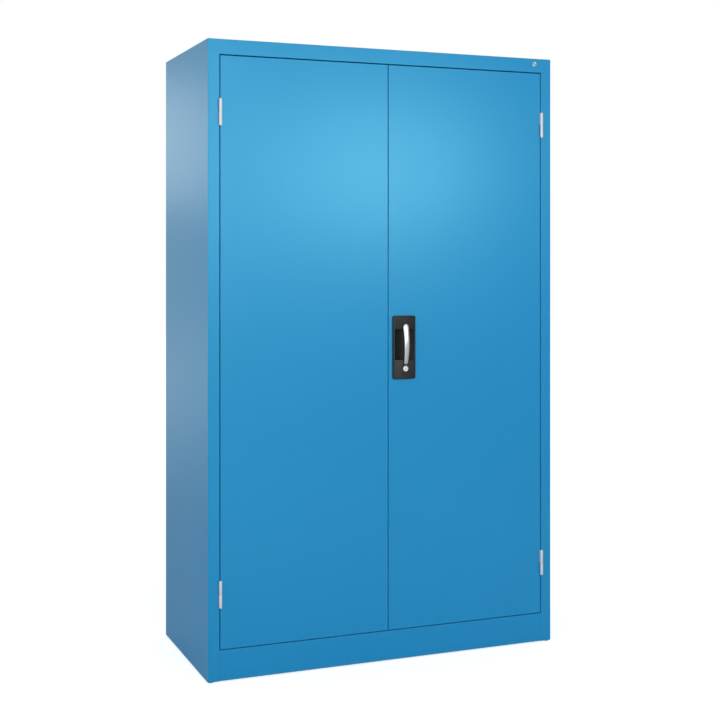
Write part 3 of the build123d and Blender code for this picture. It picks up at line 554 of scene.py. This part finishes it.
# Lock cylinder: satin nickel housing with a rolled flange, held by a nut behind the plate,
# and a turned plug with a narrow upright key slot.
flange_radius, housing_radius, bore = 0.009, 0.008, 0.00605
flange_edge, bore_edge = 0.0006, 0.0002
flange_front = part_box("cylinder_housing")[0][1]
housing_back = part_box("cylinder_housing")[1][1]
flange_depth = crown_front + seat_depth - flange_front
flange_place = (lock_x, flange_front + flange_depth / 2, cylinder_z)
housing = add_cylinder("cylinder_flange", flange_place, flange_radius, flange_depth, "Y")
pick_faces(lambda middle, normal: normal.y > 0.9)
bpy.ops.mesh.inset(thickness=flange_radius - housing_radius)
push(0, housing_back - flange_front - flange_depth, 0)
bpy.ops.mesh.inset(thickness=housing_radius - bore)
pick_faces(lambda middle, normal: normal.y < -0.9)
bpy.ops.mesh.inset(thickness=flange_radius - bore)


def from_axis(point):
    """Distance of a point from the axis of the lock cylinder."""
    return (point.xz - Vector((lock_x, cylinder_z))).length


pick_faces(lambda middle, normal: abs(normal.y) > 0.9 and from_axis(middle) < 10 * hair)
bpy.ops.mesh.bridge_edge_loops()
pick_edges(
    lambda a, b: max(a.y, b.y) < flange_front + hair
    and min(from_axis(a), from_axis(b)) > flange_radius - hair
)
bpy.ops.mesh.bevel(offset=flange_edge, segments=4)
pick_edges(
    lambda a, b: max(a.y, b.y) < flange_front + hair
    and max(from_axis(a), from_axis(b)) < bore + hair
)
bpy.ops.mesh.bevel(offset=bore_edge, segments=2)
housing = close_edit()
turned = plated("turned_nickel", (0.78, 0.78, 0.77), 0.4, 0.05)
coated(housing, turned, "right_leaf", "cylinder_housing")

plug_low, plug_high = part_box("key_plug")
plug_radius, plug_edge = 0.0059, 0.0004
slot_half, slot_rise, slot_depth = 0.001, 0.004, 0.010
plug = add_cylinder(
    "key_plug_turned",
    (lock_x, (plug_low[1] + plug_high[1]) / 2, cylinder_z),
    plug_radius,
    plug_high[1] - plug_low[1],
    "Y",
)
pick_edges(lambda a, b: max(a.y, b.y) < plug_low[1] + hair)
bpy.ops.mesh.bevel(offset=plug_edge, segments=3)
for point, way in (
    ((lock_x - slot_half, 0, 0), (1, 0, 0)),
    ((lock_x + slot_half, 0, 0), (1, 0, 0)),
    ((0, 0, cylinder_z - slot_rise), (0, 0, 1)),
    ((0, 0, cylinder_z + slot_rise), (0, 0, 1)),
):
    pick_faces(lambda middle, normal: normal.y < -0.99)
    bpy.ops.mesh.bisect(plane_co=point, plane_no=way)
pick_faces(
    lambda middle, normal: normal.y < -0.99
    and abs(middle.x - lock_x) < slot_half
    and abs(middle.z - cylinder_z) < slot_rise
)
push(0, slot_depth, 0)
plug = close_edit()
coated(plug, turned, "key_core", "key_plug")
for part in ("lock_nut", "lock_cam", "cam_screw"):
    finish_node(part, zinc)


# Lock works behind the skin: pressed zinc-plated tray and cover, pinion, tongue, two racked
# rods with their guides, and moulded backing blocks. The fitter bolts them up as one case.
for part in (
    "lock_tray",
    "lock_cover",
    "cover_screws",
    "guide_screws",
    "spindle",
    "spindle_washer",
    "spindle_screw",
    "tongue",
    "pinion",
    "upper_rod",
    "lower_rod",
    "rod_lug",
):
    finish_node(part, zinc)
natural = coat("natural_plastic", (0.62, 0.61, 0.58), 0.5, 0.1)
for part in ("backing_blocks", "rod_guides"):
    finish_node(part, natural)


# Blanking cap: a plain polished ring with a dark domed disc, whose stem clips into a round
# hole at the right end of the header.
ring_low, ring_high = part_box("cap_ring")
ring_radius = (ring_high[0] - ring_low[0]) / 2
cap_x, cap_z = (ring_high[0] + ring_low[0]) / 2, (ring_high[2] + ring_low[2]) / 2
disc_radius, disc_play, dome = 0.00425, 0.0001, 0.0002
stem_radius, rim_edge, rim_facet = 0.003, 0.0004, 0.002
ring_place = (cap_x, (ring_low[1] + front) / 2, cap_z)
ring = add_cylinder("cap_rim", ring_place, ring_radius, front - ring_low[1], "Y")
pick_faces(lambda middle, normal: abs(normal.y) > 0.9)
bpy.ops.mesh.inset(thickness=ring_radius - disc_radius - disc_play, use_individual=True)
bpy.ops.mesh.bridge_edge_loops()
pick_edges(
    lambda a, b: max(a.y, b.y) < ring_low[1] + hair and (a.xz - b.xz).length < rim_facet
)
bpy.ops.mesh.bevel(offset=rim_edge, segments=3)
ring = close_edit()
polished = plated("polished_rim", (0.86, 0.86, 0.86), 0.18, 0.02)
coated(ring, polished, "cabinet", "cap_ring")
disc_low, disc_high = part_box("cap_disc")
disc_place = (cap_x, (disc_low[1] + front + dome) / 2, cap_z)
disc = add_cylinder("cap_button", disc_place, disc_radius, front - disc_low[1] - dome, "Y")
pick_faces(lambda middle, normal: normal.y > 0.9)
bpy.ops.mesh.inset(thickness=disc_radius - stem_radius)
push(0, disc_high[1] - front, 0)
pick_faces(lambda middle, normal: normal.y < -0.9)
for ring_step, share in ((0.0009, 0.6), (0.0012, 0.3), (0.0012, 0.1)):
    bpy.ops.mesh.inset(thickness=ring_step)
    bpy.ops.transform.translate(value=(0, -share * dome, 0))
disc = close_edit(60)
cap_plastic = coat("cap_plastic", (0.24, 0.20, 0.16), 0.4, 0.2)
coated(disc, cap_plastic, "cabinet", "cap_disc")


# Studio: a plain pale floor and a white backdrop behind the cabinet, seen straight and in
# what shines, in a pale room. A key and a wide lamp stand in front, a fill lamp at the left
# and a weak rim lamp behind the left side.
def seen_share(tree, mirrored):
    """1 for what is seen straight or through glass, and mirrored for what shines."""
    path = tree.nodes.new("ShaderNodeLightPath")
    shine = tree.nodes.new("ShaderNodeMath")
    shine.operation = "MULTIPLY"
    tree.links.new(path.outputs["Is Glossy Ray"], shine.inputs[0])
    tree.links.new(mirrored, shine.inputs[1])
    share = shine
    for ray in ("Is Camera Ray", "Is Transmission Ray"):
        either = tree.nodes.new("ShaderNodeMath")
        either.operation = "MAXIMUM"
        tree.links.new(path.outputs[ray], either.inputs[0])
        tree.links.new(share.outputs["Value"], either.inputs[1])
        share = either
    return share.outputs["Value"]


def facing_share(tree, vector, way, start, full):
    """Rises from 0 to 1 as the vector's part along a way goes from start to full."""
    along = tree.nodes.new("ShaderNodeVectorMath")
    along.operation = "DOT_PRODUCT"
    along.inputs[1].default_value = way
    rise = tree.nodes.new("ShaderNodeMapRange")
    rise.interpolation_type = "SMOOTHSTEP"
    rise.inputs["From Min"].default_value = start
    rise.inputs["From Max"].default_value = full
    tree.links.new(vector, along.inputs[0])
    tree.links.new(along.outputs["Value"], rise.inputs["Value"])
    return rise.outputs["Result"]


floor_size = 30
# The floor's own glow rises with the distance from the cabinet: near its foot the floor is
# painted a little darker, a faint painted shade, and far off a little lighter, painted light
# where the lamps no longer reach.
foot_reach, far_reach = 0.8, 2.8
shaded_foot_glow, lit_far_glow = 0.62, 0.66
bpy.ops.mesh.primitive_plane_add(size=floor_size, location=(0, 0, 0))
floor = bpy.context.object
floor.name = "studio_floor"
ground = bpy.data.materials.new("studio_floor_white")
ground.use_nodes = True
tree = ground.node_tree
diffuse = tree.nodes["Principled BSDF"]
diffuse.inputs["Base Color"].default_value = (0.65, 0.65, 0.65, 1)
diffuse.inputs["Roughness"].default_value = 0.9
white = tree.nodes.new("ShaderNodeEmission")
mix = tree.nodes.new("ShaderNodeMixShader")
spot = tree.nodes.new("ShaderNodeNewGeometry")
away = tree.nodes.new("ShaderNodeVectorMath")
away.operation = "LENGTH"
# Painted shade near the cabinet's foot and painted light far off: the glow's strength grows with
# the distance from the middle.
paler = tree.nodes.new("ShaderNodeMapRange")
paler.inputs["From Min"].default_value = foot_reach
paler.inputs["From Max"].default_value = far_reach
paler.inputs["To Min"].default_value = shaded_foot_glow
paler.inputs["To Max"].default_value = lit_far_glow
tree.links.new(spot.outputs["Position"], away.inputs[0])
tree.links.new(away.outputs["Value"], paler.inputs["Value"])
tree.links.new(paler.outputs["Result"], white.inputs["Strength"])
sweep = facing_share(tree, spot.outputs["Position"], (0.6, 0.8, 0), 0.4, 4.6)
tree.links.new(seen_share(tree, sweep), mix.inputs["Fac"])
both = tree.nodes.new("ShaderNodeAddShader")
tree.links.new(diffuse.outputs["BSDF"], both.inputs[0])
tree.links.new(white.outputs["Emission"], both.inputs[1])
tree.links.new(diffuse.outputs["BSDF"], mix.inputs[1])
tree.links.new(both.outputs["Shader"], mix.inputs[2])
tree.links.new(mix.outputs["Shader"], tree.nodes["Material Output"].inputs["Surface"])
floor.data.materials.append(ground)

room_right, room_left = 0.45, 0.74
world = bpy.data.worlds.new("studio_surround")
bpy.context.scene.world = world
world.use_nodes = True
tree = world.node_tree
around = tree.nodes["Background"]
around.inputs["Color"].default_value = (0.94, 0.99, 1.0, 1)
backdrop = tree.nodes.new("ShaderNodeBackground")
backdrop.inputs["Color"].default_value = (1, 1, 1, 1)
backdrop.inputs["Strength"].default_value = 1
mix = tree.nodes.new("ShaderNodeMixShader")
way = tree.nodes.new("ShaderNodeTexCoord")
screen = facing_share(tree, way.outputs["Generated"], (0.40, 0.917, 0), 0.81, 0.90)
room = facing_share(tree, way.outputs["Generated"], (-1, 0, 0), -1.0, 0.6)
dim = tree.nodes.new("ShaderNodeMapRange")
dim.inputs["To Min"].default_value = room_right
dim.inputs["To Max"].default_value = room_left
tree.links.new(room, dim.inputs["Value"])
tree.links.new(dim.outputs["Result"], around.inputs["Strength"])
tree.links.new(seen_share(tree, screen), mix.inputs["Fac"])
tree.links.new(around.outputs["Background"], mix.inputs[1])
tree.links.new(backdrop.outputs["Background"], mix.inputs[2])
tree.links.new(mix.outputs["Shader"], tree.nodes["World Output"].inputs["Surface"])


def lamp(name, place, aim, wide, high, power):
    """Oval lamp that looks from its place at its aim, in metres, with its power in watts."""
    bpy.ops.object.light_add(type="AREA", location=place)
    light = bpy.context.object
    light.name = name
    light.data.shape = "ELLIPSE"
    light.data.size = wide
    light.data.size_y = high
    light.data.energy = power
    light.rotation_euler = (Vector(aim) - Vector(place)).to_track_quat("-Z", "Y").to_euler()


lamp("key_lamp", (1.19, -3.0, 1.77), (-0.05, -0.24, 1.54), 1.1, 0.55, 16)
lamp("wide_lamp", (-0.6, -4.5, 2.0), (0, -0.24, 1.2), 2.4, 2.4, 67)
lamp("rim_lamp", (-1.4, 2.92, 1.93), (-0.6, 0, 1.63), 0.6, 0.8, 2.1)
lamp("fill_lamp", (-3.6, -1.8, 1.6), (-0.6, 0, 1.1), 2.0, 2.0, 17)
